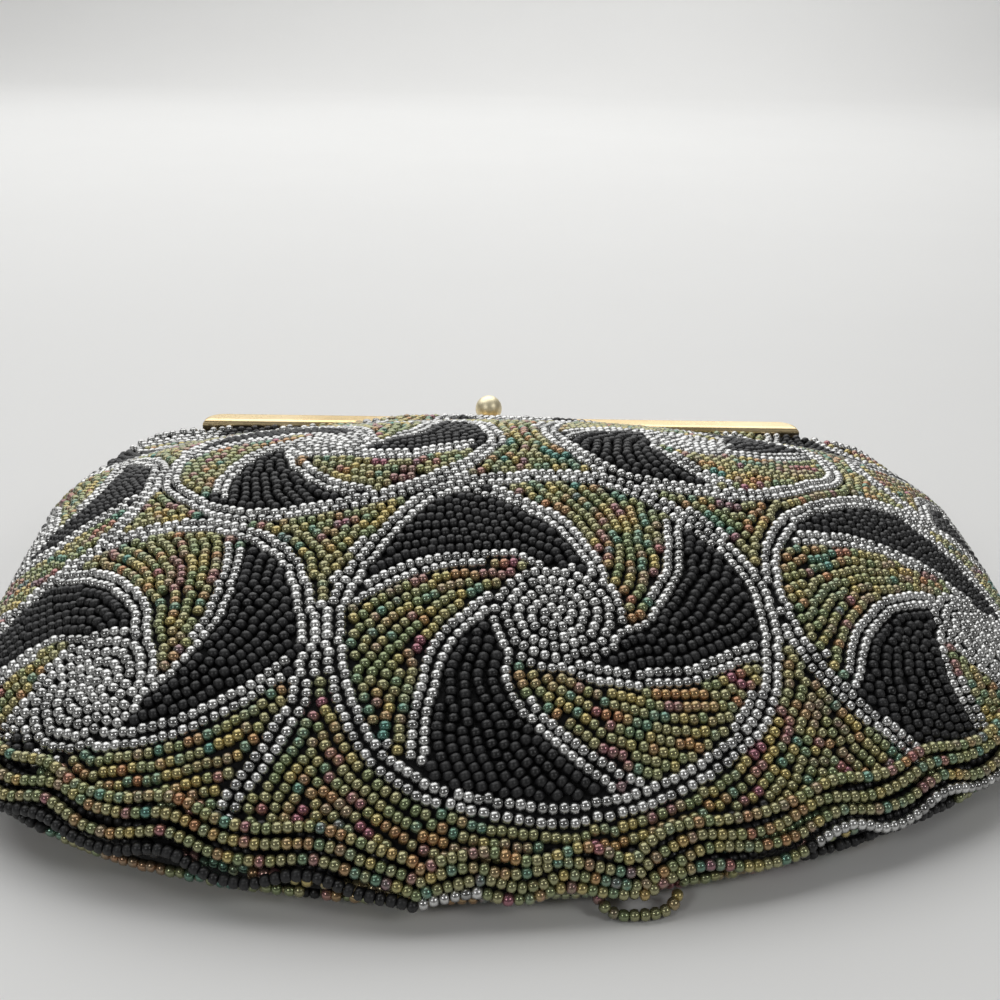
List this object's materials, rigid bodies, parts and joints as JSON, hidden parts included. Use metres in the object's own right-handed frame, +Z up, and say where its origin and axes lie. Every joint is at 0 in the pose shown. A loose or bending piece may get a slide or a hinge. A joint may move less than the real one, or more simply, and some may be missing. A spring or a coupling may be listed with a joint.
{
  "type": "kiss lock frame purse",
  "caption": "Beaded cloth purse lying on its back, on a hinged gold frame that closes with a kiss lock of two crossing balls, with a short chain handle.",
  "frame": {"origin": "on the surface the purse lies on, under the middle of the pouch", "axes": "+X across the purse along the frame's bar, +Y from the bottom seam to the frame, +Z up"},
  "size_m": [0.199, 0.2146, 0.0471],
  "materials": {
    "gold_metal": "polished",
    "beaded_cloth": "black cloth covered with glass seed beads in olive, black and silver",
    "lining_satin": "satin",
    "hem": "matte"
  },
  "bodies": {
    "pouch": {"back_frame": "gold_metal", "back_hem_tape": "hem", "back_crimp_cord": "hem", "hinge_pin_left": "gold_metal", "hinge_pin_right": "gold_metal", "hinge_washers": "gold_metal", "chain_lug_left": "gold_metal", "chain_lug_right": "gold_metal", "back_panel": "beaded_cloth", "back_lining": "lining_satin", "front_panel": "beaded_cloth", "front_lining": "lining_satin"},
    "front_half": {"front_frame": "gold_metal", "front_hem_tape": "hem", "front_crimp_cord": "hem", "front_panel_mouth": "beaded_cloth", "front_lining_mouth": "lining_satin"},
    "back_lock": {"back_lock_stem": "gold_metal", "back_lock_ball": "gold_metal"},
    "front_lock": {"front_lock_stem": "gold_metal", "front_lock_ball": "gold_metal"},
    "chain": {"jump_ring_left": "gold_metal", "jump_ring_right": "gold_metal", "chain_links": "gold_metal"}
  },
  "joints": [
    {"name": "frame_open", "type": "hinge", "parent": "pouch", "child": "front_half", "pos_m": [0, 0.042, 0.0245], "axis": [1, 0, 0], "range_deg": [0, 65], "deforming": ["front_panel_mouth", "front_lining_mouth"]},
    {"name": "back_lock_flex", "type": "hinge", "parent": "pouch", "child": "back_lock", "pos_m": [-0.0034, 0.07, 0.0212], "axis": [0, 1, 0], "range_deg": [-8, 0], "stiffness_Nm_per_rad": 0.1},
    {"name": "front_lock_flex", "type": "hinge", "parent": "front_half", "child": "front_lock", "pos_m": [0.0034, 0.07, 0.0278], "axis": [0, 1, 0], "range_deg": [-8, 0], "stiffness_Nm_per_rad": 0.1},
    {"name": "chain_swing", "type": "hinge", "parent": "pouch", "child": "chain", "pos_m": [0, 0.0736, 0.0212], "axis": [1, 0, 0], "range_deg": [0, 95]}
  ]
}
